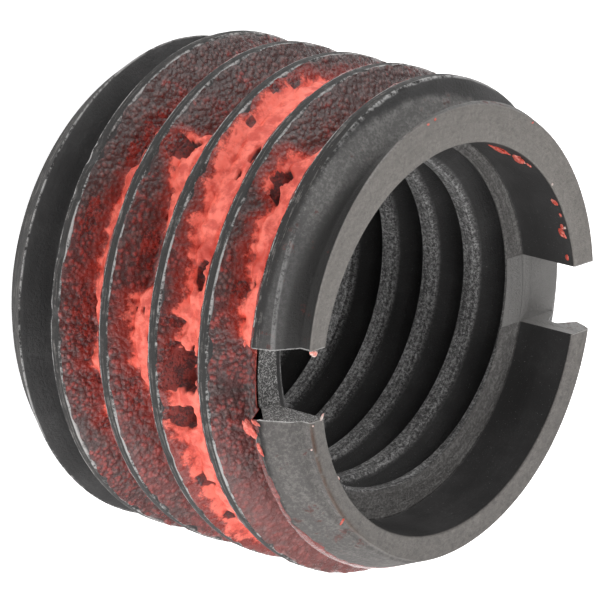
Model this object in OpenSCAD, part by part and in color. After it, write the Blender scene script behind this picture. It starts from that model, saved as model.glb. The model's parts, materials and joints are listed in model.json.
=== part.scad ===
// A threaded insert in its own frame: +Z runs along the bore towards the slotted end, the plain end
// stands on z = 0 and the drive slot lies along X. All sizes are in millimetres. Both threads are
// right-handed, with flanks at 60 degrees to each other.

/* [Body] */
// Length over the two end faces
body_len = 18; // [14:0.5:30]
// Length of the taper at the plain end
plain_taper_len = 1.9; // [1:0.1:3]
// How far the taper brings in the radius at the plain end
plain_taper_in = 1.35; // [0.5:0.05:1.6]
// Length of the taper at the slotted end
slotted_taper_len = 3.05; // [1:0.05:4]
// How far the taper brings in the radius at the slotted end
slotted_taper_in = 1.2; // [0.4:0.05:1.4]

/* [External thread] */
// Diameter over the crests
ext_d = 23.76; // [23:0.02:26]
// Pitch
ext_pitch = 3; // [2:0.25:3.5]
// Width of the flat on the crest
ext_crest = 0.48; // [0.3:0.02:0.7]
// Width of the flat in the root
ext_root = 0.52; // [0.3:0.02:0.8]
// Depth of the crest below the slotted face, on the +X side
ext_start = 1.81; // [0:0.01:3]

/* [Bore and internal thread] */
// Wall between the roots of the two threads
wall = 1.05; // [0.7:0.05:2]
// Pitch
int_pitch = 2.5; // [1.5:0.25:2.75]
// Width of the flat on the crest
int_crest = 0.66; // [0.4:0.02:0.8]
// Width of the flat in the root
int_root = 0.28; // [0.2:0.02:0.5]
// Depth of a crest below the slotted face, on the +X side
int_start = 1.55; // [0:0.01:2.5]
// Wall between the counterbore and the root of the external thread
cbore_wall = 0.95; // [0.5:0.05:1.5]
// Depth of the counterbore
cbore_depth = 3.1; // [2:0.1:5]
// Width of the flat ring round the countersink at the plain end
plain_ring = 1.25; // [0.8:0.05:2]

/* [Drive slot] */
// Width of the slot across the slotted end
slot_w = 3.3; // [2:0.1:6]
// Depth of the slot
slot_depth = 3.1; // [1.5:0.1:5]

/* [Locking compound] */
// Height of the compound's lower end above the plain end, on the +X side
fill_start = 3.9; // [2:0.1:4]
// Depth of the compound's upper end below the slotted face, on the +X side
fill_stop = 2.1; // [1.5:0.1:6]
// How far up the compound its thickest layer lies, from 0 to 1
fill_peak = 0.65; // [0.2:0.05:0.8]
// Thickest layer of compound over the root
fill_thick = 0.95; // [0.4:0.05:1.2]
// Thinnest layer of compound over the root, at both its ends
fill_thin = 0.3; // [0.1:0.05:0.6]

/* [Hidden] */

$fn = 180;
// Flat facets round one turn of a thread
facets = 48;
// Equal sectors of the turned blank, so that the face of a crest ends before the helix has left it
sectors = 8;
// Half the angle between a thread's flanks
flank_angle = 30;
// How far a cutter stands past the face that it cuts
clear = 1;
// How far a groove's cutter stands past the crests, less than would let its turns meet
rim_clear = 0.14;

ext_r = ext_d / 2;
ext_depth = thread_depth(ext_pitch, ext_crest, ext_root);
ext_root_r = ext_r - ext_depth;
int_root_r = ext_root_r - wall;
bore_r = int_root_r - thread_depth(int_pitch, int_crest, int_root);
cbore_r = ext_root_r - cbore_wall;
plain_r = ext_r - plain_taper_in;
mouth_r = plain_r - plain_ring;
cbore_floor = body_len - cbore_depth;
slot_floor = body_len - slot_depth;
fill_end = body_len - fill_stop;

// Radial depth of a thread with these flats on its crests and in its roots
function thread_depth(pitch, crest, root) = (pitch - crest - root) / (2 * tan(flank_angle));

// Half the width of a groove at a distance from its root
function half_width(root, out) = root / 2 + out * tan(flank_angle);

// The four corners of a groove's section, turned to one angle and raised by the helix
function groove_ring(root_r, rim_r, root, pitch, angle, z) =
    let (wide = half_width(root, abs(rim_r - root_r)), mid = z + pitch * angle / 360)
    [for (corner = [[rim_r, -wide], [root_r, -root / 2], [root_r, root / 2], [rim_r, wide]])
        [corner[0] * cos(angle), corner[0] * sin(angle), mid + corner[1]]];

// A helical groove's cutter, from one facet to another. Its middle is at height z on the +X side.
module groove(root_r, rim_r, root, pitch, z, first, last) {
    rings = [for (i = [first:last]) groove_ring(root_r, rim_r, root, pitch, i * 360 / facets, z)];
    outward = rim_r > root_r;
    sides = [for (i = [0:last - first - 1]) for (k = [0:3])
        [4 * i + k, 4 * i + (k + 1) % 4, 4 * (i + 1) + (k + 1) % 4, 4 * (i + 1) + k]];
    ends = [[3, 2, 1, 0], [for (k = [0:3]) 4 * (last - first) + k]];
    faces = concat(sides, ends);
    polyhedron([for (ring = rings) each ring],
        outward ? [for (f = faces) [for (k = [len(f) - 1:-1:0]) f[k]]] : faces);
}

// The external thread's groove between two heights on the +X side
module external_groove(low, high) {
    z = body_len - ext_start - ext_pitch / 2;
    groove(ext_root_r, ext_r + rim_clear, ext_root, ext_pitch, z,
        floor((low - z) / ext_pitch * facets), ceil((high - z) / ext_pitch * facets));
}

// The internal thread's groove, out through both ends
module internal_groove() {
    z = body_len - int_start - int_pitch / 2;
    groove(int_root_r, bore_r - rim_clear, int_root, int_pitch, z,
        floor((-int_pitch - z) / int_pitch * facets), ceil((cbore_floor + int_pitch - z) / int_pitch * facets));
}

// Turned blank: tapered ends, bore and counterbore
module blank() {
    for (i = [0:sectors - 1])
        rotate([0, 0, i * 360 / sectors]) rotate_extrude(angle = 360 / sectors) polygon([
            [bore_r, 0], [plain_r, 0], [ext_r, plain_taper_len],
            [ext_r, body_len - slotted_taper_len], [ext_r - slotted_taper_in, body_len],
            [cbore_r, body_len], [cbore_r, cbore_floor], [bore_r, cbore_floor]]);
}

// Countersink at the plain end, at 45 degrees to the axis
module countersink() {
    translate([0, 0, -clear])
        cylinder(h = clear + mouth_r - bore_r, r1 = mouth_r + clear, r2 = bore_r);
}

// The slot for the driver, straight across the slotted end
module drive_slot() {
    translate([-ext_r - clear, -slot_w / 2, slot_floor])
        cube([2 * (ext_r + clear), slot_w, slot_depth + clear]);
}

module insert_body() {
    color("#3b3b3d") difference() {
        blank();
        external_groove(-ext_pitch, body_len + ext_pitch);
        internal_groove();
        countersink();
        drive_slot();
    }
}

// Hardened compound over the root in the middle turns of the groove, thinner towards its two ends
module locking_compound() {
    inner_r = ext_root_r - clear;
    thin_r = ext_root_r + fill_thin;
    thick_r = ext_root_r + fill_thick;
    peak = fill_start + fill_peak * (fill_end - fill_start);
    low = fill_start - ext_pitch;
    high = fill_end + ext_pitch;
    color("#d8483b") difference() {
        intersection() {
            external_groove(fill_start, fill_end);
            rotate_extrude() polygon([[inner_r, low], [thin_r, low], [thick_r, peak - ext_pitch / 2],
                [thick_r, peak + ext_pitch / 2], [thin_r, high], [inner_r, high]]);
        }
        drive_slot();
    }
}

insert_body();
locking_compound();
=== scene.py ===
"""Dresses a threaded insert of black steel, with red locking compound in its outer thread."""

import json
import math
from types import SimpleNamespace

import bmesh
import bpy
from bpy.props import FloatProperty, FloatVectorProperty, IntProperty, PointerProperty
from mathutils import Matrix, Vector, noise


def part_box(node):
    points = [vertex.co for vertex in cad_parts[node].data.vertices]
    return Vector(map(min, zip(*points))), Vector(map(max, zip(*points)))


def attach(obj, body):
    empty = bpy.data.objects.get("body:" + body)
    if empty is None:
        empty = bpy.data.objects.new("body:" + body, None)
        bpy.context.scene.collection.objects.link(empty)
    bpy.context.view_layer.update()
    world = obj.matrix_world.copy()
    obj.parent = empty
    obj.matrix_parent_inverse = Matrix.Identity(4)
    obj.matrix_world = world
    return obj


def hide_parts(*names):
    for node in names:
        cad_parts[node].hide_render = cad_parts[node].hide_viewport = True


bl_info = {
    "name": "Threaded insert",
    "version": (1, 0, 0),
    "blender": (4, 5, 0),
    "location": "View3D > Sidebar > Insert",
    "description": "Builds the looks of a threaded insert round its packed model",
    "category": "Object",
}

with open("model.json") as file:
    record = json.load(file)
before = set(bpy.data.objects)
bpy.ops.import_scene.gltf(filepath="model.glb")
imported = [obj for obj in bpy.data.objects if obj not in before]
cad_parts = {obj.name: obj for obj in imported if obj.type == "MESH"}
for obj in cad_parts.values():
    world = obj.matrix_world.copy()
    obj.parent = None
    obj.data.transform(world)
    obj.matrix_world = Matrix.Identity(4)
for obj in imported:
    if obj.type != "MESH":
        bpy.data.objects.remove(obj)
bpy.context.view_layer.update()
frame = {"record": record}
MOUNTS = {mount["name"]: mount for mount in frame["record"]["mounts"]}

# All shapes are worked out in millimetres and scaled to metres when a piece is finished.
MM = 0.001
BODY_LEN = (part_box("insert_body")[1].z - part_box("insert_body")[0].z) / MM
EXT_R = MOUNTS["external_thread"]["dims"]["r_mm"]
BORE_R = MOUNTS["internal_thread"]["dims"]["r_mm"]
CBORE_R = MOUNTS["counterbore"]["dims"]["r_mm"]
CBORE_LEN = MOUNTS["counterbore"]["dims"]["length_mm"]
CBORE_FLOOR = BODY_LEN - CBORE_LEN
FLANK_SLOPE = math.tan(math.radians(30))
# The angles, in degrees, that the tapers' axes are shifted away from
PLAIN_SHIFT_ANGLE, SLOTTED_SHIFT_ANGLE = 30, 105
# The slotted end's chamfer: the sines of the angles over which it begins on the +Y half, the angles, in
# radians, over which it grows smaller and by how much, and how far off it lies where there is none
CHAMFER_BEGIN = (-0.08, 0.08)
CHAMFER_FADE, CHAMFER_FADE_BY = (0.87, 1.57), 0.3
NO_CHAMFER = 2
# Height from which the slotted end's taper is bare of thread
TAPER_Z = BODY_LEN - 2
# The share of a flank that is kept where a cut leaves none of it, so that its faces stay apart, and how
# often the search for a share halves what is left
LEAST_FLANK, HALVINGS = 0.06, 12
# How deep below the outline a crest is worn, the scales of its waves, and half a nick's height
WEAR_REACH, WEAR_SCALES, NICK_HALF = 0.25, (0.9, 2.7), 0.35
# How near two vertices or heights are the same, and how near they are where the piece's walls meet
NEAR, WALL_NEAR = 1e-3, 1e-4


def smooth(value, low, high):
    """A smooth step from 0 at low to 1 at high."""
    part = min(1, max(0, (value - low) / (high - low)))
    return part * part * (3 - 2 * part)


def level_at(stops, place):
    """The value at a place along a list of (place, value), smoothed between its stops."""
    for (start, first), (end, last) in zip(stops, stops[1:]):
        if place <= end:
            return first + (last - first) * smooth(place, start, end)
    return stops[-1][1]


class InsertSizes(bpy.types.PropertyGroup):
    """Sizes of the steel insert, in millimetres"""

    plain_taper_len: FloatProperty(
        name="Plain taper length", description="Length of the taper at the plain end", default=1.9)
    plain_taper_in: FloatProperty(
        name="Plain taper depth", description="How far that taper brings in the radius", default=1.35)
    slotted_taper_len: FloatProperty(
        name="Slotted taper length", description="Length of the taper at the slotted end", default=3.05)
    slotted_taper_in: FloatProperty(
        name="Slotted taper depth", description="How far that taper brings in the radius", default=1.2)
    plain_shift: FloatProperty(
        name="Plain shift", description="How far the plain taper is off the axis", default=0.13)
    slotted_shift: FloatProperty(
        name="Slotted shift", description="How far the slotted taper is off the axis", default=0.3)
    chamfer_r: FloatProperty(
        name="Chamfer radius", description="Radius of the +Y half's chamfer at the face", default=10.17)
    chamfer_slope: FloatProperty(
        name="Chamfer slope", description="How fast that chamfer widens", default=0.62)
    plain_ring: FloatProperty(
        name="Plain ring", description="Width of the flat ring round the countersink", default=1.25)
    ext_pitch: FloatProperty(name="Outer pitch", description="Pitch of the outer thread", default=3.0)
    ext_crest: FloatProperty(name="Outer crest", description="Flat on the outer crest", default=0.48)
    ext_root: FloatProperty(name="Outer root", description="Flat in the outer root", default=0.52)
    ext_start: FloatProperty(
        name="Outer start", description="Depth of the outer crest below the slotted face, on +X",
        default=1.81)
    int_pitch: FloatProperty(name="Inner pitch", description="Pitch of the inner thread", default=2.5)
    int_crest: FloatProperty(name="Inner crest", description="Flat on the inner crest", default=0.66)
    int_root: FloatProperty(name="Inner root", description="Flat in the inner root", default=0.28)
    int_start: FloatProperty(
        name="Inner start", description="Depth of an inner crest below the slotted face, on +X",
        default=1.55)
    slot_w: FloatProperty(name="Slot width", description="Width of the drive slot", default=3.3)
    slot_depth: FloatProperty(name="Slot depth", description="Depth of the drive slot", default=3.1)
    edge_break: FloatProperty(
        name="Edge break", description="Small chamfer on turned edges", default=0.07)
    thread_rounding: FloatProperty(
        name="Thread rounding", description="Rounding of the crests' edges and the roots", default=0.06)
    steps: IntProperty(name="Steps", description="Facets round one turn of the outer thread", default=330)
    inner_steps: IntProperty(
        name="Inner steps", description="Facets round one turn of the inner thread", default=220)
    round_steps: IntProperty(name="Round steps", description="Facets round the counterbore", default=220)
    wall_rows: IntProperty(name="Wall rows", description="Rows of faces down the counterbore", default=3)
    spacing: FloatProperty(
        name="Spacing", description="Spacing of the vertices across a thread", default=0.45)
    crest_wear: FloatProperty(
        name="Crest wear", description="How deep the crests' edges are worn", default=0.025)
    film: FloatProperty(name="Film", description="Thickness of the compound's film", default=0.05)
    film_sunk: FloatProperty(
        name="Film sunk", description="How far the compound's underside lies in the steel", default=0.12)
    film_creep: FloatProperty(
        name="Film creep", description="How far the film may reach over the crests", default=0.14)
    film_points: IntProperty(
        name="Film points", description="Vertices across the compound", default=31)
    film_steps: IntProperty(
        name="Film steps", description="Facets round one turn of the compound", default=640)
    mass_height: FloatProperty(
        name="Mass height", description="Thickest compound over the root", default=0.95)
    mass_top: FloatProperty(
        name="Mass top", description="Upper edge of the mass over the groove's middle", default=0.95)


class Thread:
    """A helical groove's profile, and where its middle passes the +X side."""

    def __init__(self, pitch, crest, root, crest_r, outward, middle):
        self.pitch, self.middle = pitch, middle
        self.root_half = root / 2
        self.crest_half = (pitch - crest) / 2
        self.reach = self.crest_half - self.root_half
        self.depth = self.reach / FLANK_SLOPE * (1 if outward else -1)
        self.crest_r = crest_r
        self.root_r = crest_r - self.depth

    def place(self, co):
        """Height of the groove's middle at the point's angle, and the point's height over it."""
        rise = self.pitch * math.atan2(co.y, co.x) / math.tau
        over = (co.z - self.middle - rise + self.pitch / 2) % self.pitch - self.pitch / 2
        return co.z - over, over


def external_thread(sizes):
    """The outer thread's groove."""
    middle = BODY_LEN - sizes.ext_start - sizes.ext_pitch / 2
    return Thread(sizes.ext_pitch, sizes.ext_crest, sizes.ext_root, EXT_R, True, middle)


def internal_thread(sizes):
    """The inner thread's groove."""
    middle = BODY_LEN - sizes.int_start - sizes.int_pitch / 2
    return Thread(sizes.int_pitch, sizes.int_crest, sizes.int_root, BORE_R, False, middle)


def outer_limit(sizes):
    """The turned outline: its radius at a height and angle, over the crests and both tapers."""
    def radius(z, angle):
        tapers = [EXT_R - (start + rise * z) * slope - shift * math.cos(angle - math.radians(away))
                  for start, rise, slope, shift, away in taper_lines(sizes)]
        off = NO_CHAMFER * (1 - smooth(math.sin(angle), *CHAMFER_BEGIN))
        off += CHAMFER_FADE_BY * smooth(angle, *CHAMFER_FADE)
        return min(EXT_R, sizes.chamfer_r + (BODY_LEN - z) * sizes.chamfer_slope + off, *tapers)

    return radius


def taper_lines(sizes):
    """Each taper as (start, rise, slope, shift, away).

    It brings the radius in by (start + rise * z) * slope, and by shift more at the angle away.
    """
    return (
        (sizes.plain_taper_len, -1, sizes.plain_taper_in / sizes.plain_taper_len,
         sizes.plain_shift, PLAIN_SHIFT_ANGLE),
        (sizes.slotted_taper_len - BODY_LEN, 1, sizes.slotted_taper_in / sizes.slotted_taper_len,
         sizes.slotted_shift, SLOTTED_SHIFT_ANGLE),
    )


def inner_limit(sizes):
    """The bore's radius at a height, over the crests and the countersink at the plain end."""
    mouth = EXT_R - sizes.plain_taper_in - sizes.plain_ring
    return lambda z, angle: max(BORE_R, mouth - z)


def flank_share(thread, limit, middle, side):
    """How much of a flank is left, from 0 to 1, where the turned outline cuts the crest off."""
    angle = math.tau * (middle - thread.middle) / thread.pitch

    def room(share):
        height = middle + side * (thread.root_half + share * thread.reach)
        return (limit(height, angle) - thread.root_r) / thread.depth

    if room(1) >= 1:
        return 1.0
    low, high = LEAST_FLANK, 1.0
    for _ in range(HALVINGS):
        share = (low + high) / 2
        low, high = (share, high) if share < room(share) else (low, share)
    return low


def trim(bm, thread, limit):
    """Moves the full thread's vertices to where the turned outline leaves them, corner to corner."""
    shares = {}
    keep = min if thread.depth > 0 else max
    for vert in bm.verts:
        middle, over = thread.place(vert.co)
        angle = math.atan2(vert.co.y, vert.co.x)
        side = -1 if over < 0 else 1
        key = (round(middle, 4), side)
        if key not in shares:
            shares[key] = flank_share(thread, limit, middle, side)
        share = shares[key]
        radius = math.hypot(vert.co.x, vert.co.y)
        if share < 1:
            corner = thread.root_half + share * thread.reach
            if abs(over) <= thread.crest_half:
                over = side * (thread.root_half + (abs(over) - thread.root_half) * share)
                radius = thread.root_r + (radius - thread.root_r) * share
            else:
                part = (abs(over) - thread.crest_half) / (thread.pitch / 2 - thread.crest_half)
                over = side * (corner + part * (thread.pitch / 2 - corner))
        turned = keep(radius, limit(middle + over, angle))
        vert.co = Vector((vert.co.x, vert.co.y, 0)).normalized() * turned
        vert.co.z = middle + over


def spin_turns(bm, pitch, steps, turns):
    """Spins a profile up a helix for one turn, repeats that turn and joins the turns."""
    bmesh.ops.spin(bm, geom=bm.verts[:] + bm.edges[:], cent=(0, 0, 0), axis=(0, 0, 1),
                   dvec=(0, 0, pitch / steps), angle=math.tau, steps=steps)
    turn = bm.verts[:] + bm.edges[:] + bm.faces[:]
    for lift in range(1, turns):
        copy = bmesh.ops.duplicate(bm, geom=turn)["geom"]
        bmesh.ops.translate(bm, verts=[v for v in copy if isinstance(v, bmesh.types.BMVert)],
                            vec=(0, 0, lift * pitch))
    bmesh.ops.remove_doubles(bm, verts=bm.verts[:], dist=NEAR)


def thread_skin(thread, low, high, steps, sizes):
    """The threaded wall, one pitch of profile spun up a helix, a turn or more past both heights."""
    bm = bmesh.new()
    turns = math.ceil((high - low) / thread.pitch) + 3
    first = thread.middle - math.ceil((thread.middle - low) / thread.pitch + 1) * thread.pitch
    corners = [(-thread.pitch / 2, thread.crest_r), (-thread.crest_half, thread.crest_r),
               (-thread.root_half, thread.root_r), (thread.root_half, thread.root_r),
               (thread.crest_half, thread.crest_r), (thread.pitch / 2, thread.crest_r)]
    verts = [bm.verts.new((radius, 0, first + over)) for over, radius in corners]
    for pair in zip(verts, verts[1:]):
        bm.edges.new(pair)
    bmesh.ops.bevel(bm, geom=verts[1:-1], offset=sizes.thread_rounding, offset_type="OFFSET",
                    segments=2, profile=0.5, affect="VERTICES", material=-1)
    for edge in list(bm.edges):
        cuts = int(edge.calc_length() / sizes.spacing)
        if cuts:
            bmesh.ops.subdivide_edges(bm, edges=[edge], cuts=cuts)
    spin_turns(bm, thread.pitch, steps, turns)
    return bm


def cut_level(bm, z, above):
    """Cuts an open skin level at a height, drops one side and returns the edges along the cut."""
    geom = bm.verts[:] + bm.edges[:] + bm.faces[:]
    cut = bmesh.ops.bisect_plane(bm, geom=geom, plane_co=(0, 0, z), plane_no=(0, 0, 1), dist=1e-5,
                                 clear_outer=above, clear_inner=not above)["geom_cut"]
    return [e for e in cut if isinstance(e, bmesh.types.BMEdge)]


def draw_rim(bm, edges, inward, rise):
    """Extrudes a rim, moves the new one towards the axis and along it, and returns its edges."""
    new = bmesh.ops.extrude_edge_only(bm, edges=edges)["geom"]
    for vert in (v for v in new if isinstance(v, bmesh.types.BMVert)):
        radius = math.hypot(vert.co.x, vert.co.y)
        vert.co.x *= (radius - inward) / radius
        vert.co.y *= (radius - inward) / radius
        vert.co.z += rise
    return [e for e in new if isinstance(e, bmesh.types.BMEdge)]


def circle_edges(bm, radius, z, segments):
    """The edges of a new circle round the axis."""
    made = bmesh.ops.create_circle(bm, segments=segments, radius=radius, cap_ends=False,
                                   matrix=Matrix.Translation((0, 0, z)))["verts"]
    return list({edge for vert in made for edge in vert.link_edges})


def join_mesh(bm, other):
    """Adds another bmesh's geometry to this one."""
    mesh = bpy.data.meshes.new("joined")
    other.to_mesh(mesh)
    other.free()
    bm.from_mesh(mesh)
    bpy.data.meshes.remove(mesh)


def rim_edges(bm, z):
    """The open edges that lie at a height."""
    return [e for e in bm.edges if e.is_boundary and all(abs(v.co.z - z) < NEAR for v in e.verts)]


def roughen_crests(bm, limit, sizes):
    """Small waves along the crests' edges, and the nicks that handling has left in them."""
    for vert in bm.verts:
        radius = math.hypot(vert.co.x, vert.co.y)
        angle = math.atan2(vert.co.y, vert.co.x)
        if radius < limit(vert.co.z, angle) - WEAR_REACH:
            continue
        wave = sum(noise.noise(vert.co * scale) for scale in WEAR_SCALES) / len(WEAR_SCALES)
        depth = sizes.crest_wear * abs(wave)
        for nick_angle, nick_z, length, deep in NICKS:
            along = (angle - math.radians(nick_angle)) * radius / length
            across = (vert.co.z - nick_z) / NICK_HALF
            depth += deep * max(0, 1 - along * along - across * across)
        vert.co.x *= (radius - depth) / radius
        vert.co.y *= (radius - depth) / radius


def outer_skin(sizes):
    """The outer thread between the plain end and the slotted end, with its ends' edges broken."""
    thread, limit = external_thread(sizes), outer_limit(sizes)
    bm = thread_skin(thread, 0, BODY_LEN, sizes.steps, sizes)
    trim(bm, thread, limit)
    roughen_crests(bm, limit, sizes)
    for z, sign in ((BODY_LEN, 1), (0, -1)):
        cut = cut_level(bm, z - sign * sizes.edge_break, above=sign > 0)
        draw_rim(bm, cut, sizes.edge_break, sign * sizes.edge_break)
    return bm


def inner_skin(sizes):
    """The inner thread between the countersink and the counterbore's floor."""
    thread, limit = internal_thread(sizes), inner_limit(sizes)
    bm = thread_skin(thread, 0, CBORE_FLOOR, sizes.inner_steps, sizes)
    trim(bm, thread, limit)
    cut = cut_level(bm, CBORE_FLOOR - sizes.edge_break, above=True)
    draw_rim(bm, cut, -sizes.edge_break, sizes.edge_break)
    cut_level(bm, 0, above=False)
    bmesh.ops.remove_doubles(bm, verts=bm.verts[:], dist=NEAR)
    return bm


def counterbore(bm, sizes):
    """The smooth wall of the counterbore, from its broken edge down to a small fillet at the floor."""
    edge = sizes.edge_break
    rim = circle_edges(bm, CBORE_R + edge, BODY_LEN, sizes.round_steps)
    rim = draw_rim(bm, rim, edge, -edge)
    wall_len = CBORE_LEN - 3 * edge
    for _ in range(sizes.wall_rows):
        rim = draw_rim(bm, rim, 0, -wall_len / sizes.wall_rows)
    rim = draw_rim(bm, rim, edge / 2, -1.5 * edge)
    draw_rim(bm, rim, edge, -edge / 2)


def cut_slot(piece, sizes):
    """Mills the drive slot through a closed piece and leaves the result in its mesh."""
    bm = bmesh.new()
    box = Matrix.Diagonal((3 * EXT_R, sizes.slot_w, 2 * sizes.slot_depth, 1))
    bmesh.ops.create_cube(bm, size=1, matrix=Matrix.Translation((0, 0, BODY_LEN)) @ box)
    cutter = new_object("slot_cutter", bm)
    modifier = piece.modifiers.new("slot", "BOOLEAN")
    modifier.operation, modifier.solver, modifier.object = "DIFFERENCE", "MANIFOLD", cutter
    settle_modifiers(piece)
    bpy.data.objects.remove(cutter)


def settle_modifiers(piece):
    """Replaces a piece's mesh by the one that its modifiers make."""
    made = bpy.data.meshes.new_from_object(piece.evaluated_get(bpy.context.evaluated_depsgraph_get()))
    piece.modifiers.clear()
    piece.data = made
    made.name = piece.name


def new_object(name, bm):
    """An object at the origin that holds a bmesh, still in millimetres."""
    mesh = bpy.data.meshes.new(name)
    bm.to_mesh(mesh)
    bm.free()
    piece = bpy.data.objects.new(name, mesh)
    bpy.context.scene.collection.objects.link(piece)
    return piece


def finish_piece(piece, material, sharp):
    """Turns a piece to metres, smooths its faces between sharp edges and hands it to the frame."""
    bm = bmesh.new()
    bm.from_mesh(piece.data)
    for face in bm.faces:
        face.smooth = True
    for edge in bm.edges:
        edge.smooth = edge.calc_face_angle(0) < math.radians(sharp)
    bmesh.ops.scale(bm, vec=(MM, MM, MM), verts=bm.verts)
    bm.to_mesh(piece.data)
    bm.free()
    piece.data.materials.clear()
    piece.data.materials.append(material)
    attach(piece, "root")
    return piece


def build_body(sizes):
    """Joins the skins, fills the three flat rings between them and mills the slot."""
    bm = outer_skin(sizes)
    join_mesh(bm, inner_skin(sizes))
    counterbore(bm, sizes)
    for z in (BODY_LEN, CBORE_FLOOR, 0):
        bmesh.ops.triangle_fill(bm, use_beauty=True, edges=rim_edges(bm, z))
    bmesh.ops.remove_doubles(bm, verts=bm.verts[:], dist=WALL_NEAR)
    bmesh.ops.recalc_face_normals(bm, faces=bm.faces[:])
    piece = new_object("steel_insert", bm)
    cut_slot(piece, sizes)
    return piece


# Where the compound's coral mass ends on the lower flank: the groove, counted up from the plain end,
# the angle in degrees, and the height of the mass's edge over the groove's middle in mm.
MASS_EDGE = [
    (0, 145, 0.3),
    (1, -110, 0.0), (1, -75, -0.1), (1, -58, -0.2), (1, -47, -0.25), (1, -40, -0.4), (1, -30, -0.45),
    (1, -24, -0.3), (1, -13, -0.5), (1, -8, -0.25), (1, 2, -0.25), (1, 7, -0.6), (1, 13, -0.3),
    (1, 24, -0.45), (1, 40, 0.1), (1, 90, -0.2), (1, 140, -0.6),
    (2, -140, -0.3), (2, -110, -0.5), (2, -75, -0.1), (2, -60, -0.1), (2, -52, -0.9), (2, -47, -1.0),
    (2, -42, -0.7), (2, -39, -0.4), (2, -34, -0.3), (2, -24, 0.0), (2, -17, 0.0), (2, -12, -0.8),
    (2, -2, -0.85), (2, 5, -0.65), (2, 12, -0.35), (2, 18, -0.3), (2, 30, 0.1), (2, 60, 0.0),
    (2, 110, -0.4), (2, 150, -0.8),
    (3, -150, -0.9), (3, -120, -0.7), (3, -95, -0.6), (3, -82, -0.95), (3, -70, -1.15), (3, -43, -1.15),
    (3, -36, -1.0), (3, -29, -0.9), (3, -24, -0.7), (3, -16, -0.75), (3, -11, -0.95), (3, -8, -0.7),
    (3, -4, -0.9), (3, 3, -1.1), (3, 17, -1.1), (3, 24, -1.0), (3, 38, -0.95), (3, 50, -1.1),
    (3, 75, -0.8), (3, 110, -0.5), (3, 150, -0.3),
    (4, -150, -0.4), (4, -110, 0.0), (4, -65, 0.0), (4, -52, -0.9), (4, -45, -0.95), (4, -41, -0.6),
    (4, -34, -0.7), (4, -27, -0.6), (4, -20, -0.45), (4, -15, -0.65), (4, -9, -0.4), (4, -3, 0.5),
    (4, 3, 1.5), (4, 145, 1.5),
]
# Pits in it: groove, angle, height over the groove's middle, half lengths along and across, depth.
PITS = [
    (1, -53, -0.45, 1.6, 0.25, 0.4), (1, -28, -0.8, 1.0, 0.2, 0.3), (1, -2, -0.6, 1.5, 0.22, 0.5),
    (1, 13, -0.4, 0.3, 0.35, 0.4), (1, 26, -0.5, 0.3, 0.2, 0.4), (1, 80, -0.1, 0.8, 0.3, 0.4),
    (2, -50, -0.6, 0.55, 0.6, 0.6), (2, -24, -0.5, 1.1, 0.25, 0.3), (2, -8.5, -0.42, 0.22, 0.14, 0.5),
    (2, -9.5, 0.15, 0.2, 0.08, 0.4), (2, 12, -0.7, 0.9, 0.2, 0.3), (2, 130, -0.3, 0.7, 0.4, 0.5),
    (3, -72, -1.1, 0.25, 0.16, 0.3), (3, -79, -1.0, 0.4, 0.2, 0.3), (3, -61, -0.9, 0.3, 0.1, 0.4),
    (3, -46.5, 0.0, 0.28, 0.08, 0.4), (3, -53, 0.35, 0.5, 0.14, 0.5), (3, -21, 0.0, 0.7, 0.22, 0.5),
    (3, -9, -0.9, 0.25, 0.35, 0.4), (3, 2, -0.4, 1.05, 0.95, 1.0), (3, 14, -0.55, 0.6, 0.6, 0.9),
    (3, 33, -0.6, 0.45, 0.3, 0.6), (3, 47, -0.7, 0.35, 0.2, 0.5), (3, 100, -0.3, 0.9, 0.5, 0.6),
    (3, -135, -0.2, 0.6, 0.4, 0.6), (4, -47, -0.5, 0.8, 0.35, 0.6), (4, -20, -0.6, 0.4, 0.22, 0.5),
    (4, -22, 0.0, 0.15, 0.12, 0.4),
]
# Nicks in the outer crests: angle, height, half length along the crest, depth.
NICKS = [(-4, 4.1, 0.4, 0.12), (-18, 4.0, 0.5, 0.1), (-40, 3.8, 0.5, 0.14), (-44, 3.8, 0.3, 0.1),
         (-31, 3.9, 0.3, 0.08), (24, 10.4, 0.4, 0.08), (-12, 7.1, 0.3, 0.08), (50, 16.6, 0.5, 0.1)]


# How many pitches the compound's lowest groove lies below the thread's first middle
COMPOUND_GROOVE = 4
# How much shorter the compound's waves are along the axis, and the scales of the coarse, the middling
# and the fine ones
WAVE_SQUEEZE, WAVE_SCALES = 1.3, (0.6, 1.4, 3.3)
# What those waves add: in millimetres, or in shares of the film's thickness
WAVES = {
    "low": (-0.12, -0.1, -0.04), "top": (0.2, 0, 0), "lumps": (0.16, 0.14, 0.06), "pits": (0, 0.35, 0.4),
    "creep": (0.12, 0.14, 0), "film": (0, 0.9, 0.8), "crumbs": (0, 1, 0),
}
# A pit's outline: the power of its rounded oblong, where its wall starts and ends, and how far off it
# no longer counts
PIT_POWER, PIT_WALL, PIT_FAR = 2.3, (1.15, 0.85), 1.5
# How far from its ends, in degrees, the compound is fully thick
COMPOUND_RUNOUT = 25


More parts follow.
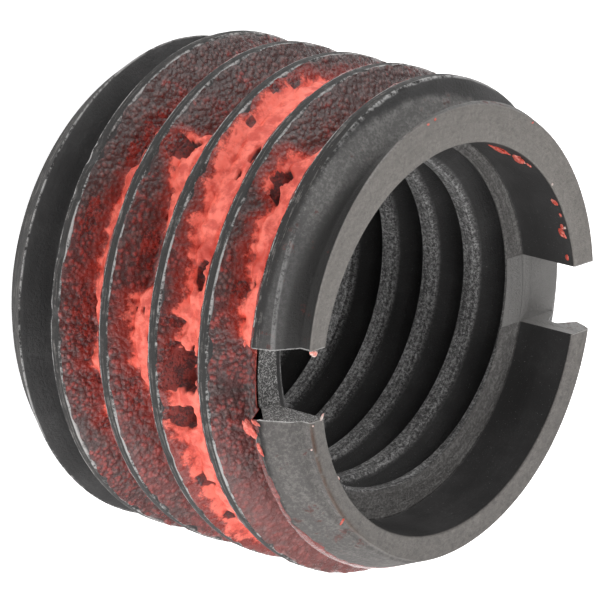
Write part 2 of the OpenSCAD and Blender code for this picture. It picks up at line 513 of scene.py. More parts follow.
def compound_strip(thread, first, last, sizes):
    """The compound's closed strip, full to the crests, wound through the groove between two angles."""
    bm = bmesh.new()
    half = thread.crest_half + sizes.film_creep
    count = sizes.film_points
    verts = [bm.verts.new((EXT_R + 1, 0, half * (2 * i / (count - 1) - 1))) for i in range(count)]
    for over in (half, thread.root_half, -thread.root_half, -half):
        verts.append(bm.verts.new((flank_radius(thread, over) - sizes.film_sunk, 0, over)))
    for pair in zip(verts, verts[1:] + verts[:1]):
        bm.edges.new(pair)
    rise = thread.middle + (first / 360 - COMPOUND_GROOVE) * thread.pitch
    turn = Matrix.Rotation(math.radians(first), 3, "Z")
    bmesh.ops.translate(bm, verts=bm.verts, vec=(0, 0, rise))
    bmesh.ops.rotate(bm, verts=bm.verts, cent=(0, 0, 0), matrix=turn)
    spin_turns(bm, thread.pitch, sizes.film_steps, round((last - first) / 360))
    bmesh.ops.holes_fill(bm, edges=[e for e in bm.edges if e.is_boundary])
    return bm


def flank_radius(thread, over):
    """The steel's radius in the groove, at a height over its middle."""
    return min(EXT_R, thread.root_r + max(0, abs(over) - thread.root_half) / FLANK_SLOPE)


def pit_depth(pits, place, over, wobble):
    """How deep the pits are at a place, with edges that wander."""
    deep = 0
    for pit_place, pit_over, along, across, depth in pits:
        side = abs(math.radians(place - pit_place)) * EXT_R / along
        if side < PIT_FAR:
            reach = side ** PIT_POWER + abs((over - pit_over) / across) ** PIT_POWER
            deep = max(deep, depth * smooth(reach ** (1 / PIT_POWER) + wobble, *PIT_WALL))
    return deep


class Compound:
    """The dried compound's shape: a beaded film, a coral mass over the root, and its pits."""

    def __init__(self, sizes):
        self.sizes, self.thread = sizes, external_thread(sizes)
        self.edge = [(360 * turn + angle, over) for turn, angle, over in MASS_EDGE]
        self.pits = [(360 * turn + angle, *rest) for turn, angle, *rest in PITS]
        self.first, self.last = self.edge[0][0], self.edge[-1][0]

    def waves(self, co):
        """What the waves add to each shape at a point."""
        spot = Vector((co.x, co.y, co.z * WAVE_SQUEEZE))
        levels = [noise.noise(spot * scale) for scale in WAVE_SCALES]
        return SimpleNamespace(**{name: sum(share * level for share, level in zip(shares, levels))
                                  for name, shares in WAVES.items()})

    def surface(self, co, outline):
        """The radius at a point, how far inside the coral mass the point is, and how deep in a pit."""
        sizes, thread, waves = self.sizes, self.thread, self.waves(co)
        middle, over = thread.place(co)
        place = 360 * ((middle - thread.middle) / thread.pitch + COMPOUND_GROOVE)
        ends = smooth(min(place - self.first, self.last - place), 0, COMPOUND_RUNOUT)
        flank = flank_radius(thread, over)
        # The mass is low where its edge stays near the groove's middle, and lumpy where it is coral.
        low = level_at(self.edge, place) + waves.low
        inside = min(over - low, sizes.mass_top + waves.top - over)
        coral = smooth(inside, -0.3, 0.25)
        height = sizes.mass_height * min(1, 0.4 + 0.6 * max(0, -low)) * smooth(inside, -0.25, 0.6)
        mass_r = thread.root_r + (height + waves.lumps * coral) * ends
        # The film ends a little way over the crests, and dips under the steel where it doesn't reach.
        creep = min(0.04 + waves.creep, sizes.film_creep - 0.02)
        cover = smooth(thread.crest_half + creep - abs(over), 0, 0.1) * ends
        film = sizes.film * (1 + waves.film) * cover - 0.03 * (1 - cover)
        film_r = flank + film + 0.08 * coral * (1 + waves.crumbs) * cover
        # A pit goes down to a thin film, and nothing stands more than a hair past the turned outline.
        pit = pit_depth(self.pits, place, over, waves.pits)
        radius = max(max(film_r, mass_r) - pit, flank + 0.4 * film)
        radius = min(radius, outline + 0.015 - 0.13 * (1 - cover))
        return radius, max(-1, min(1, inside)) * ends - 1 + ends, pit


def build_compound(sizes):
    """Shapes the compound's strip, and marks on it where it is thick and where it is pitted."""
    compound, limit = Compound(sizes), outer_limit(sizes)
    bm = compound_strip(compound.thread, compound.first, compound.last, sizes)
    inside_at = bm.verts.layers.float.new("inside")
    pit_at = bm.verts.layers.float.new("pit")
    for vert in bm.verts:
        radius = math.hypot(vert.co.x, vert.co.y)
        outward = Vector((vert.co.x, vert.co.y, 0)) / radius
        outline = limit(vert.co.z, math.atan2(vert.co.y, vert.co.x))
        if radius > EXT_R:
            radius, vert[inside_at], vert[pit_at] = compound.surface(vert.co, outline)
        else:
            radius = min(radius, outline - sizes.film_sunk)
        vert.co = outward * radius + Vector((0, 0, vert.co.z))
    bmesh.ops.recalc_face_normals(bm, faces=bm.faces[:])
    piece = new_object("compound_layer", bm)
    cut_slot(piece, sizes)
    return piece


# Loose bits of compound: what they lie on, the angle in degrees, the height or the radius there,
# length, width, thickness and twist in degrees.
FLAKES = [
    ("wall", -120.5, 16.75, 1.1, 0.6, 0.2, 15), ("wall", -125.5, 17.3, 0.95, 0.55, 0.24, -20),
    ("wall", -129, 17.55, 0.35, 0.16, 0.1, 10), ("wall", -147, 17.7, 0.42, 0.3, 0.1, 40),
    ("wall", -156.5, 17.65, 0.3, 0.2, 0.1, 0), ("wall", -159, 17.55, 0.55, 0.3, 0.1, 20),
    ("wall", -167, 17.6, 0.3, 0.22, 0.08, 0), ("wall", -152, 17.75, 0.25, 0.12, 0.08, 0),
    ("outline", 10.5, 15.65, 0.9, 0.42, 0.3, 35), ("outline", 9.0, 15.9, 0.5, 0.16, 0.2, 60),
    ("outline", 15.5, 15.95, 0.75, 0.18, 0.16, 15), ("face", -77.7, 10.85, 0.16, 0.1, 0.06, 0),
    ("face", -80.4, 10.9, 0.14, 0.1, 0.06, 30), ("face", -120, 10.75, 0.14, 0.1, 0.06, 0),
    ("face", 42, 10.25, 0.3, 0.14, 0.06, 40), ("outline", -9, 15.5, 0.3, 0.12, 0.1, 0),
]
# Burrs and pale specks of metal, in the same terms.
BURRS = [
    ("face", -8.7, 9.95, 0.34, 0.24, 0.2, 30), ("face", -9.0, 10.15, 0.2, 0.16, 0.16, 0),
    ("face", -139.3, 9.3, 0.12, 0.12, 0.1, 0), ("wall", -156.6, 17.8, 0.14, 0.12, 0.12, 0),
    ("wall", -128, 17.4, 0.12, 0.1, 0.1, 0), ("face", 9.6, 9.35, 0.3, 0.1, 0.12, 60),
    ("face", 10.5, 10.0, 0.12, 0.08, 0.08, 0), ("face", 16.5, 10.3, 0.12, 0.08, 0.06, 0),
    ("wall", 31, 17.9, 0.22, 0.16, 0.12, 0),
]


# How much a bit's ball is bent, and at what scale
RAGGED = ((0.55, 3.1), (0.3, 7))


def place_bit(bm, sizes, carrier, angle, level, length, width, thick, twist):
    """Adds one ragged bit, half sunk in the wall, face or outline that carries it."""
    turn = math.radians(angle)
    outward = Vector((math.cos(turn), math.sin(turn), 0))
    if carrier == "face":
        spot, normal = outward * level + Vector((0, 0, BODY_LEN)), Vector((0, 0, 1))
    elif carrier == "wall":
        spot, normal = outward * CBORE_R + Vector((0, 0, level)), -outward
    else:
        spot = outward * outer_limit(sizes)(level, turn) + Vector((0, 0, level))
        normal = outward
    verts = bmesh.ops.create_icosphere(bm, subdivisions=3, radius=0.5)["verts"]
    for vert in verts:
        vert.co *= 1 + sum(much * noise.noise(vert.co * scale + spot) for much, scale in RAGGED)
    standing = normal.to_track_quat("Z", "Y").to_matrix().to_4x4()
    turned = standing @ Matrix.Rotation(math.radians(twist), 4, "Z")
    size = Matrix.Diagonal((length, width, thick, 1))
    bmesh.ops.transform(bm, matrix=Matrix.Translation(spot) @ turned @ size, verts=verts)


def build_bits(name, bits, sizes):
    """One piece of many small bits."""
    bm = bmesh.new()
    for bit in bits:
        place_bit(bm, sizes, *bit)
    return new_object(name, bm)


class Wire:
    """A shader socket; sums with wires and numbers add Math nodes."""

    def __init__(self, finish, socket):
        self.finish, self.socket = finish, socket

    def math(self, operation, other=0.0, swap=False):
        """A Math node on this wire and another wire or number."""
        first, second = (other, self) if swap else (self, other)
        return self.finish.node("Math", {"operation": operation}, {0: first, 1: second})

    def __add__(self, other):
        return self.math("ADD", other)

    __radd__ = __add__

    def __sub__(self, other):
        return self.math("SUBTRACT", other)

    def __rsub__(self, other):
        return self.math("SUBTRACT", other, swap=True)

    def __mul__(self, other):
        return self.math("MULTIPLY", other)

    __rmul__ = __mul__

    def __truediv__(self, other):
        return self.math("DIVIDE", other)

    def __rtruediv__(self, other):
        return self.math("DIVIDE", other, swap=True)


class Finish:
    """A material whose nodes come from one method."""

    def __init__(self, name, **constants):
        self.material = bpy.data.materials.new(name)
        self.material.use_nodes = True
        self.tree = self.material.node_tree
        self.shader = self.tree.nodes["Principled BSDF"]
        for socket, value in constants.items():
            self.shader.inputs[socket.replace("_", " ")].default_value = value

    def node(self, kind, settings=None, inputs=None, output=0):
        """Adds a node with its settings and its sockets' values or links, and returns one output."""
        made = self.tree.nodes.new("ShaderNode" + kind)
        for name, value in (settings or {}).items():
            setattr(made, name, value)
        for key, value in (inputs or {}).items():
            if isinstance(value, Wire):
                self.tree.links.new(value.socket, made.inputs[key])
            else:
                made.inputs[key].default_value = value
        return Wire(self, made.outputs[output])

    def feed(self, socket, wire):
        """Links a wire to one of the shader's own sockets."""
        self.tree.links.new(wire.socket, self.shader.inputs[socket])

    def place(self):
        """The point on the piece, in millimetres."""
        coords = self.node("TexCoord", output="Object")
        return self.node("VectorMath", {"operation": "SCALE"}, {0: coords, "Scale": 1 / MM})

    def split(self, place):
        """The three coordinates of a point."""
        node = self.node("SeparateXYZ", None, {0: place}).socket.node
        return [Wire(self, output) for output in node.outputs]

    def join(self, x, y, z):
        """A vector of three coordinates."""
        return self.node("CombineXYZ", None, {0: x, 1: y, 2: z})

    def attribute(self, name):
        """A value that the piece's vertices carry."""
        return self.node("Attribute", {"attribute_name": name}, None, "Fac")

    def step(self, value, low, high):
        """A smooth step from 0 at low to 1 at high."""
        settings = {"interpolation_type": "SMOOTHSTEP"}
        return self.node("MapRange", settings, {0: value, 1: low, 2: high, 3: 0.0, 4: 1.0})

    def grain(self, place, scale, detail=3.0, roughness=0.6):
        """Noise of a scale, about 0.5."""
        inputs = {"Vector": place, "Scale": scale, "Detail": detail, "Roughness": roughness}
        return self.node("TexNoise", None, inputs)

    def cells(self, place, scale):
        """The distance to the middle of the nearest of many small cells."""
        inputs = {"Vector": place, "Scale": scale, "Smoothness": 0.4}
        return self.node("TexVoronoi", {"feature": "SMOOTH_F1"}, inputs)

    def blend(self, factor, first, second):
        """Colours mixed by a factor; a colour is a wire or three numbers."""
        first, second = ((*c, 1.0) if isinstance(c, tuple) else c for c in (first, second))
        return self.node("Mix", {"data_type": "RGBA"}, {0: factor, 6: first, 7: second}, 2)

    def bump(self, height, distance, strength):
        """Raises the surface by a height times a distance in millimetres."""
        inputs = {"Height": height, "Distance": distance * MM, "Strength": strength}
        self.feed("Normal", self.node("Bump", None, inputs))


def thread_over(thread, turn, z):
    """A thread's own height over its groove's middle, in a material."""
    over = z - turn * (thread.pitch / math.tau) - (thread.middle - thread.pitch / 2)
    return over.math("FLOORED_MODULO", thread.pitch) - thread.pitch / 2


def steel_point(finish, sizes):
    """A point on the steel: its coordinates, and where it lies on the threads and under the outline."""
    place = finish.place()
    x, y, z = finish.split(place)
    radius, turn = (x * x + y * y).math("SQRT"), y.math("ARCTAN2", x)
    thread = external_thread(sizes)
    over = thread_over(thread, turn, z)
    flank = (over.math("ABSOLUTE") - thread.root_half) / FLANK_SLOPE + thread.root_r
    limit = EXT_R
    for start, rise, slope, shift, away in taper_lines(sizes):
        away = math.radians(away)
        aside = (x * math.cos(away) + y * math.sin(away)) / radius * shift
        limit = (EXT_R - start * slope - z * (rise * slope) - aside).math("MINIMUM", limit)
    off = NO_CHAMFER - finish.step(y / radius, *CHAMFER_BEGIN) * NO_CHAMFER
    off = off + finish.step(turn, *CHAMFER_FADE) * CHAMFER_FADE_BY
    limit = limit.math("MINIMUM", (BODY_LEN - z) * sizes.chamfer_slope + sizes.chamfer_r + off)
    outside = finish.step(radius, CBORE_R + 0.4, CBORE_R + 0.7)
    across = thread_over(internal_thread(sizes), turn, z)
    return SimpleNamespace(
        place=place, x=x, y=y, z=z, radius=radius, over=over, outside=outside, below=limit - radius,
        corner=(flank - limit).math("ABSOLUTE"), rows=across + outside * (over - across) + radius)


def steel_grains(finish, at):
    """The steel's noises, from the finest to the coarsest, and the two that run round the axis."""
    return SimpleNamespace(
        salt=finish.grain(at.place, 16.0, 2.0, 0.6),
        fine=finish.grain(at.place, 7.0, 4.0, 0.7),
        pocks=finish.grain(at.place, 3.4, 6.0, 0.8),
        speckle=finish.grain(at.place, 2.2, 6.0, 0.7),
        patches=finish.grain(at.place, 0.35, 3.0),
        lathe=finish.grain(finish.join(at.x * 0.3, at.y * 0.3, at.rows * 5.0), 1.0, 3.0),
        scratches=finish.grain(finish.join(at.x * 0.6, at.y * 0.6, at.over * 14.0), 1.0, 3.0, 0.6))


def outer_places(finish, at, grains):
    """Masks of the outer thread: its crests, their scratches and edges, and the slotted end's taper."""
    step, fine, speckle = finish.step, grains.fine - 0.5, grains.speckle - 0.5
    crest = at.outside * step(at.below + speckle * 0.1, 0.12, 0.04)
    taper = at.outside * step(at.z + speckle * 0.3, TAPER_Z, TAPER_Z + 0.25)
    on_crest = crest * (1 - taper)
    # The bright line ends at the taper on its +Y half, and fades there on the other.
    line = at.outside * step(at.corner + fine * 0.08, 0.14, 0.05) * step(at.below, 0.2, 0.1)
    line = line * (1 - step(at.z, TAPER_Z - 0.2, TAPER_Z) * (step(at.y, 0.0, 1.5) * 0.4 + 0.6))
    # Beside the slot, on its -Y side, the foot of the taper carries painted shade and its lip is stained.
    near_slot = step(at.x, 1.0, 6.5) * step(at.y, -0.5, -1.2) * step(at.z, TAPER_Z + 0.5, TAPER_Z + 1)
    stained = step(grains.speckle + (grains.patches - 0.5) * 0.8, 0.62, 0.7)
    return SimpleNamespace(
        crest=crest, on_crest=on_crest, taper=taper,
        streak=step(grains.scratches + speckle * 0.6, 0.54, 0.64) * on_crest,
        line=line * step(grains.lathe + fine * 0.8 + speckle * 0.6, 0.38, 0.62),
        root_shade=near_slot * step(at.below + fine * 0.2, 0.25, 0.5),
        lip=near_slot * step(at.below, 0.25, 0.15) * step(at.z, TAPER_Z + 1.3, TAPER_Z + 1.4),
        # The taper is darker on its +X, -Y side.
        burnt=step(at.x, 7.5, 10.0) * step(at.y, 0.5, -0.5),
        stained=at.outside * taper * stained)


def inner_places(finish, sizes, at, grains):
    """Masks of the bore and its crests, the counterbore's floor, the end face, and the slot and the painted
    highlight on its rim.
    """
    step, fine = finish.step, grains.fine - 0.5
    slot_z, slot_y, aside = BODY_LEN - sizes.slot_depth, sizes.slot_w / 2, at.y.math("ABSOLUTE")
    slot = step(aside, slot_y + 0.02, slot_y + 0.005) * step(at.z, slot_z - 0.02, slot_z - 0.005)
    # Painted highlight: a thin bright band beside the slot's edges.
    rim = step(aside + fine * 0.05, slot_y + 0.07, slot_y + 0.02) * step(at.z, slot_z, slot_z + 0.1)
    bore = 1 - step(at.radius, CBORE_R - 0.1, CBORE_R - 0.04)
    floor = step(at.z, CBORE_FLOOR - 0.1, CBORE_FLOOR - 0.02)
    face_edge = step(at.z, BODY_LEN - 0.12, BODY_LEN - 0.02) * step(at.below, 0.35, 0.05)
    return SimpleNamespace(
        crest=step(at.radius + fine * 0.15, BORE_R + 0.4, BORE_R + 0.1),
        bore=bore * step(at.z, CBORE_FLOOR + 0.1, CBORE_FLOOR),
        floor=floor * step(at.z, CBORE_FLOOR + 0.05, CBORE_FLOOR + 0.02),
        top=step(at.z, BODY_LEN - 0.1, BODY_LEN - 0.03), slot=slot,
        rim=rim * (1 - slot) * step(at.radius, CBORE_R + 0.05, CBORE_R + 0.1),
        rust=face_edge * step(at.y, 1.2, 2.4) * step(at.x, 5.0, 8.0) * step(grains.speckle, 0.3, 0.5))


def black_steel(sizes, looks):
    """Black oxide on turned steel: grainy and dull, thin on the crests and bright along their edges."""
    finish = Finish("black_oxide_steel", Specular_IOR_Level=0.2)
    step, blend = finish.step, finish.blend
    at = steel_point(finish, sizes)
    grains = steel_grains(finish, at)
    outer, inner = outer_places(finish, at, grains), inner_places(finish, sizes, at, grains)
    fine, speckle, salt, lathe, pocks = grains.fine, grains.speckle, grains.salt, grains.lathe, grains.pocks

    mottle = step(fine + (salt - 0.5) * 0.8 + (lathe - 0.5) * 0.5, 0.3, 0.7)
    tone = blend(step(grains.patches, 0.35, 0.7), looks.oxide, looks.oxide_worn)
    tone = blend(inner.crest, tone, blend(mottle, looks.oxide_worn, looks.bore_crest))
    # The taper and the crests, from the ground up
    end = blend(step(at.y, -5.0, 0.0), looks.machined, looks.taper)
    # On the taper, paler towards -Y and darker on its +X, -Y side.
    tone = blend(outer.taper, tone, blend(outer.burnt * 0.8, end, looks.oxide_worn))
    tone = blend(outer.on_crest, tone, looks.crest)
    tone = blend(outer.streak * 0.8, tone, looks.taper)
    # Painted shade at the taper's foot beside the slot, in the crests' dark colour.
    tone = blend(outer.root_shade * 0.95, tone, looks.crest)
    lip_tone = blend(step(speckle, 0.45, 0.6), looks.crest, looks.stain)
    tone = blend(outer.lip * (1 - inner.top), tone, lip_tone)
    # The machined floors and the end face
    tone = blend(inner.floor, tone, blend(mottle, looks.taper, looks.machined))
    # Painted light and shade: the slot is drawn machined grey on its -X half and dark on its +X half.
    slot_lit_and_shaded = blend(step(at.x, -1.0, 1.0), looks.machined, looks.slot)
    sparkle = step(salt, 0.5, 0.62) * step(at.x, 0.0, 1.0)
    tone = blend(inner.slot, tone, blend(sparkle, slot_lit_and_shaded, looks.edge))
    # The face is drawn darker towards +Y, and darker or lighter with the pocks.
    dull = step(at.y, -4.0, 4.0) * 0.5 + step(pocks, 0.5, 0.38) * 0.5 + step(pocks, 0.5, 0.6) * -0.25
    tone = blend(inner.top, tone, blend(dull, looks.face, looks.taper))
    # Dust, stains and wear over it all, and a painted highlight beside the slot's edges
    tone = blend(step(salt, 0.68, 0.74) * 0.5 * (1 - at.outside), tone, looks.edge)
    tone = blend(outer.stained * (1 - inner.top) * 0.7, tone, looks.stain)
    worn = step(fine + (speckle - 0.5) * 0.6 + (lathe - 0.5) * 0.4, 0.72, 0.4)
    tone = blend(worn * (0.55 - inner.top * 0.3) * (1 - inner.slot), tone, looks.oxide)
    tone = blend(inner.rust * 0.8, tone, looks.rust)
    tone = blend(outer.line, tone, looks.line)
    # Painted highlight beside the slot's edges, broken by the speckle.
    tone = blend(inner.rim * step(speckle, 0.3, 0.5) * 0.8, tone, looks.edge)
    finish.feed("Base Color", tone)
    finish.feed("Roughness", 0.36 + fine * 0.2 + speckle * 0.12 + outer.crest * 0.25)
    rough = 1 + inner.bore * 4.0 + inner.floor * 5.0 + inner.slot * 2.0 + at.outside * 1.4
    rough = rough + outer.taper * pocks * 3.0 + inner.top * pocks * 8.0
    relief = (fine * 0.6 + speckle * 0.3 + lathe * 0.5) * rough + salt * inner.bore * 2.0
    finish.bump(relief, 0.05, 0.6)
    return finish.material


def red_compound(looks):
    """Dried compound: coral where thick, red-brown at its edges, and a beaded maroon film elsewhere."""
    finish = Finish("red_compound")
    step, blend = finish.step, finish.blend
    place = finish.place()
    _, y, z = finish.split(place)
    inside, pit = finish.attribute("inside"), finish.attribute("pit")
    clumps = finish.grain(place, 0.5, 3.0)
    blotches = finish.grain(place, 0.9, 3.0, 0.6)
    crumbs = finish.grain(place, 1.7, 6.0, 0.65)
    fine = finish.grain(place, 9.0, 3.0, 0.6)
    beads = finish.cells(place, 4.4) * 0.65 + finish.cells(place, 1.9) * 0.35
    soft = inside + (crumbs - 0.5) * 0.9 + (fine - 0.5) * 0.3
    solid = step(soft, -0.02, 0.2)
    # Painted light: on its +Y side, rising from z 3 to 13, the film is drawn paler, pinker and smoother,
    # with fewer dark gaps.
    painted_sheen_side, pale = step(y, -2.0, -9.0), step(y, 1.0, 8.0) * step(z, 3.0, 13.0)

    # Grey dust in random patches, and painted sheen that greys the film more towards -Y.
    dust_and_sheen = step(crumbs + (clumps - 0.5) * 0.9 + painted_sheen_side * 0.2, 0.47, 0.66)
    # Painted light: the film's paler, pinker colour on its +Y side.
    film = blend(pale * 0.6, blend(dust_and_sheen, looks.film, looks.film_dust), looks.film_pale)
    gap = step(beads + (fine - 0.5) * 0.35, 0.3, 0.55) * (0.8 - pale * 0.4)
    gloom = step(blotches, 0.48, 0.62) * (0.6 - pale * 0.4)
    film = blend(gap.math("MAXIMUM", gloom), film, looks.film_dark)
    bulk = blend(step(crumbs + (clumps - 0.5) * 0.5, 0.36, 0.6), looks.coral_deep, looks.coral)
    hollow = step(pit + (crumbs - 0.5) * 0.3, 0.06, 0.2)
    inner = blend(step(crumbs + (fine - 0.5) * 0.6, 0.4, 0.62), looks.pit, looks.edge_red)
    tone = blend(step(soft, -0.45, 0.0), film, looks.edge_red)
    tone = blend(hollow, blend(solid, tone, bulk), inner)
    finish.feed("Base Color", tone)
    finish.feed("Roughness", 0.2 + solid * 0.28 + fine * 0.12)
    finish.bump((1 - beads) * (1.1 - solid) * (0.8 - pale * 0.4) + crumbs * 0.8 + fine * 0.3, 0.12, 0.85)
    return finish.material


def flake_red(looks):
    """Loose bits of compound, paler where they are dry."""
    finish = Finish("loose_compound")
    place = finish.place()
    dry = finish.step(finish.grain(place, 5.0, 5.0, 0.7), 0.42, 0.72)
    finish.feed("Base Color", finish.blend(dry, looks.coral_deep, looks.flake))
    finish.feed("Roughness", 0.4 + dry * 0.2)
    finish.bump(dry, 0.04, 0.5)
    return finish.material


def burr_grey(looks):
    """Small burrs of bare metal, with a little red in them."""
    finish = Finish("bare_burrs")
    place = finish.place()
    stain = finish.step(finish.grain(place, 4.0, 4.0, 0.6), 0.45, 0.7)
    finish.feed("Base Color", finish.blend(stain, looks.burr, looks.flake))
    finish.feed("Roughness", 0.35 + stain * 0.2)
    return finish.material


def pale_floor():
    """The floor's white, lit a little from within so that it stays white under the insert."""
    finish = Finish("pale_floor", Base_Color=(0.9, 0.9, 0.9, 1.0), Roughness=0.9,
                    Emission_Color=WHITE, Emission_Strength=FLOOR_GLOW)
    return finish.material


class InsertLooks(bpy.types.PropertyGroup):
    """Colours of the steel and of the compound"""

    oxide: FloatVectorProperty(
        name="Oxide", description="Black oxide", subtype="COLOR", default=(0.035, 0.034, 0.034))
    oxide_worn: FloatVectorProperty(
        name="Worn oxide", description="Black oxide, thinner", subtype="COLOR",
        default=(0.06, 0.058, 0.058))
    machined: FloatVectorProperty(
        name="Machined", description="Machined grey faces", subtype="COLOR", default=(0.21, 0.204, 0.198))
    # Painted shade: the slot's dark colour, used on its +X half.
    slot: FloatVectorProperty(
        name="Slot", description="Floor of the drive slot", subtype="COLOR", default=(0.08, 0.078, 0.076))
    taper: FloatVectorProperty(
        name="Taper", description="Slotted end's taper", subtype="COLOR", default=(0.16, 0.15, 0.143))
    face: FloatVectorProperty(
        name="Face", description="Face of the slotted end", subtype="COLOR", default=(0.257, 0.24, 0.223))
    # Also the colour of the painted shade at the taper's foot beside the slot.
    crest: FloatVectorProperty(
        name="Crest", description="Worn crests", subtype="COLOR", default=(0.026, 0.025, 0.024))
    bore_crest: FloatVectorProperty(
        name="Bore crest", description="Crests in the bore", subtype="COLOR", default=(0.42, 0.415, 0.41))
    # Also the colour of the painted highlight beside the slot's edges.
    edge: FloatVectorProperty(
        name="Edge", description="Bright edges of the crests", subtype="COLOR", default=(0.5, 0.49, 0.48))
    line: FloatVectorProperty(
        name="Line", description="Worn edges of the outer crests", subtype="COLOR",
        default=(0.36, 0.355, 0.35))
    stain: FloatVectorProperty(
        name="Stain", description="Maroon spots on the steel", subtype="COLOR", default=(0.11, 0.035, 0.03))
    rust: FloatVectorProperty(
        name="Rust", description="Brown line at the face's edge", subtype="COLOR",
        default=(0.08, 0.035, 0.018))
    coral: FloatVectorProperty(
        name="Coral", description="Thick compound", subtype="COLOR", default=(0.84, 0.17, 0.12))
    coral_deep: FloatVectorProperty(
        name="Deep coral", description="Thick compound, darker", subtype="COLOR",
        default=(0.55, 0.065, 0.042))
    edge_red: FloatVectorProperty(
        name="Edge red", description="Compound's thinning edge", subtype="COLOR",
        default=(0.2, 0.022, 0.016))
    film: FloatVectorProperty(
        name="Film", description="Thin film of compound", subtype="COLOR", default=(0.25, 0.041, 0.036))
    # Grey of the dust on the film, also used for the painted sheen towards -Y.
    film_dust: FloatVectorProperty(
        name="Dusty film", description="Greyish film", subtype="COLOR", default=(0.125, 0.068, 0.063))
    # Painted light: the film's paler, pinker colour on its +Y side.
    film_pale: FloatVectorProperty(
        name="Pale film", description="Film on the +Y side, smooth and pinkish", subtype="COLOR",
        default=(0.23, 0.085, 0.078))
    film_dark: FloatVectorProperty(
        name="Dark film", description="Between the beads", subtype="COLOR", default=(0.022, 0.009, 0.009))
    pit: FloatVectorProperty(
        name="Pit", description="Inside the pits", subtype="COLOR", default=(0.05, 0.011, 0.011))
    flake: FloatVectorProperty(
        name="Flake", description="Dry loose bits", subtype="COLOR", default=(0.85, 0.3, 0.24))
    burr: FloatVectorProperty(
        name="Burr", description="Bare metal burrs", subtype="COLOR", default=(0.6, 0.5, 0.46))


class INSERT_OT_body(bpy.types.Operator):
    """Builds the steel insert with both threads, the counterbore and the slot"""

    bl_idname = "insert.body"
    bl_label = "Steel insert"

    def execute(self, context):
        scene = context.scene
        piece = build_body(scene.insert_sizes)
        finish_piece(piece, black_steel(scene.insert_sizes, looks_of(scene)), 32)
        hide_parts("insert_body")
        return {"FINISHED"}


class INSERT_OT_compound(bpy.types.Operator):
    """Builds the layer of locking compound in the outer thread"""

    bl_idname = "insert.compound"
    bl_label = "Locking compound"

    def execute(self, context):
        scene = context.scene
        piece = build_compound(scene.insert_sizes)
        finish_piece(piece, red_compound(looks_of(scene)), 80)
        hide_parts("locking_compound")
        return {"FINISHED"}


class INSERT_OT_flakes(bpy.types.Operator):
    """Scatters the loose flakes of compound"""

    bl_idname = "insert.flakes"
    bl_label = "Loose flakes"

    def execute(self, context):
        piece = build_bits("loose_flakes", FLAKES, context.scene.insert_sizes)
        finish_piece(piece, flake_red(looks_of(context.scene)), 60)
        return {"FINISHED"}


class INSERT_OT_burrs(bpy.types.Operator):
    """Adds the small burrs of bare metal"""

    bl_idname = "insert.burrs"
    bl_label = "Burrs"

    def execute(self, context):
        piece = build_bits("rim_burrs", BURRS, context.scene.insert_sizes)
        finish_piece(piece, burr_grey(looks_of(context.scene)), 60)
        return {"FINISHED"}


def looks_of(scene):
    """The colours as plain tuples."""
    names = InsertLooks.__annotations__
    return SimpleNamespace(**{name: tuple(getattr(scene.insert_looks, name)) for name in names})


class INSERT_OT_stage(bpy.types.Operator):
    """Sets the floor, the lights and the camera"""

    bl_idname = "insert.stage"
    bl_label = "Stage"

    def execute(self, context):
        place_camera(context.scene)
        place_floor()
        place_lights(context.scene)
        return {"FINISHED"}


WHITE = (1.0, 1.0, 1.0, 1.0)
# The camera's view of the insert, fitted to the photograph: azimuth and elevation of its back
# vector, its roll, the point it aims at in millimetres, its distance and its focal length.
VIEW_AZIMUTH, VIEW_ELEVATION, VIEW_ROLL = 68.9, 38.224, 104.752
VIEW_AIM = Vector((0.092, -0.048, 8.869))
VIEW_DISTANCE = 221.417
SENSOR, LENS = 36.0, 283.37
# The nearest and farthest that the camera sees, in metres
CLIP = (0.01, 10)
# Half the floor's width, how far it lies below the insert, and its own glow
FLOOR_HALF, FLOOR_DROP, FLOOR_GLOW = 1500, 0.02, 0.83
# The lamps: name, distances right, up and back of the aim, width, all in millimetres, and power in watts
LAMPS = [
    ("low", (0, -280, 160), 240, 0.52),
    ("low_left", (-220, -220, 120), 240, 0.92),
    ("low_right", (220, -220, 120), 240, 0.58),
    ("high_right", (220, 220, 100), 240, 0.58),
    ("front", (60, 60, 320), 200, 0.16),
]
# Strength of the white surround
SURROUND = 0.3


def view_axes():
    """The camera's right, up and back directions."""
    azimuth, elevation = math.radians(VIEW_AZIMUTH), math.radians(VIEW_ELEVATION)
    back = Vector((math.sin(azimuth) * math.cos(elevation), -math.cos(azimuth) * math.cos(elevation),
                   math.sin(elevation)))
    level = Vector((0, 0, 1)).cross(back).normalized()
    roll = math.radians(VIEW_ROLL)
    up = math.cos(roll) * back.cross(level) - math.sin(roll) * level
    return up.cross(back), up, back


def place_camera(scene):
    """The camera, at the photograph's angle and distance."""
    right, up, back = view_axes()
    data = bpy.data.cameras.new("camera")
    data.sensor_width, data.lens = SENSOR, LENS
    data.clip_start, data.clip_end = CLIP
    camera = bpy.data.objects.new("camera", data)
    scene.collection.objects.link(camera)
    turn = Matrix((right, up, back)).transposed().to_4x4()
    camera.matrix_world = Matrix.Translation((VIEW_AIM + back * VIEW_DISTANCE) * MM) @ turn
    scene.camera = camera


def place_floor():
    """A plain pale floor, a hair below the plain end."""
    bm = bmesh.new()
    bmesh.ops.create_grid(bm, x_segments=1, y_segments=1, size=FLOOR_HALF)
    bmesh.ops.translate(bm, verts=bm.verts, vec=(0, 0, -FLOOR_DROP))
    bmesh.ops.scale(bm, verts=bm.verts, vec=(MM, MM, MM))
    floor = new_object("floor", bm)
    floor.data.materials.append(pale_floor())


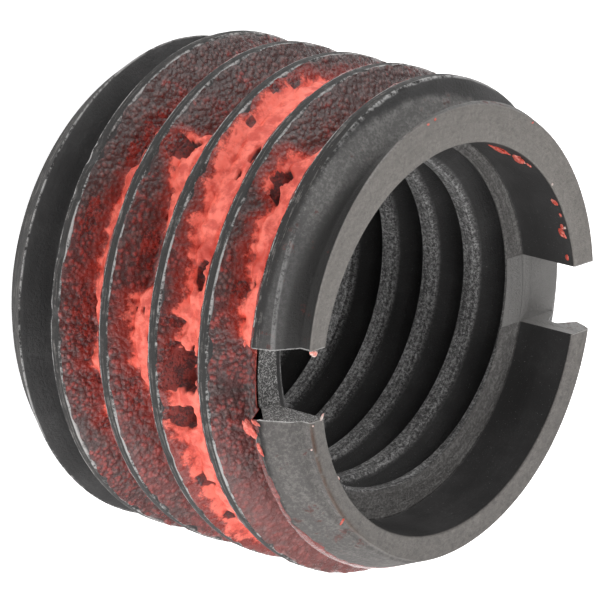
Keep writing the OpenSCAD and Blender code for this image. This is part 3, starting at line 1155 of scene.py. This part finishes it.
def place_light(scene, name, offset, width, power):
    """A square area light, placed by how far right, up and back it is of the aim, in millimetres."""
    right, up, back = view_axes()
    data = bpy.data.lights.new(name, "AREA")
    data.size, data.energy = width * MM, power
    lamp = bpy.data.objects.new(name, data)
    scene.collection.objects.link(lamp)
    spot = VIEW_AIM + right * offset[0] + up * offset[1] + back * offset[2]
    lamp.location = spot * MM
    lamp.rotation_euler = (spot - VIEW_AIM).to_track_quat("Z", "Y").to_euler()
    lamp.visible_camera = False


def place_lights(scene):
    """Soft lamps round the insert and a white surround."""
    scene.view_settings.view_transform = "Standard"
    world = bpy.data.worlds.new("studio")
    world.use_nodes = True
    background = world.node_tree.nodes["Background"]
    background.inputs["Color"].default_value = WHITE
    background.inputs["Strength"].default_value = SURROUND
    scene.world = world
    for lamp in LAMPS:
        place_light(scene, *lamp)


class INSERT_PT_panel(bpy.types.Panel):
    """Lists the insert's steps, sizes and colours in the sidebar"""

    bl_label = "Threaded insert"
    bl_space_type = "VIEW_3D"
    bl_region_type = "UI"
    bl_category = "Insert"

    def draw(self, context):
        for operator in OPERATORS:
            self.layout.operator(operator.bl_idname)
        for group in (context.scene.insert_sizes, context.scene.insert_looks):
            for name in group.__annotations__:
                self.layout.prop(group, name)


OPERATORS = (INSERT_OT_stage, INSERT_OT_body, INSERT_OT_compound, INSERT_OT_flakes, INSERT_OT_burrs)
CLASSES = (InsertSizes, InsertLooks, *OPERATORS, INSERT_PT_panel)


def register():
    for cls in CLASSES:
        bpy.utils.register_class(cls)
    bpy.types.Scene.insert_sizes = PointerProperty(type=InsertSizes)
    bpy.types.Scene.insert_looks = PointerProperty(type=InsertLooks)


def unregister():
    del bpy.types.Scene.insert_looks
    del bpy.types.Scene.insert_sizes
    for cls in reversed(CLASSES):
        bpy.utils.unregister_class(cls)


def main():
    register()
    bpy.ops.insert.stage()
    bpy.ops.insert.body()
    bpy.ops.insert.compound()
    bpy.ops.insert.flakes()
    bpy.ops.insert.burrs()


if __name__ == "__main__":
    main()
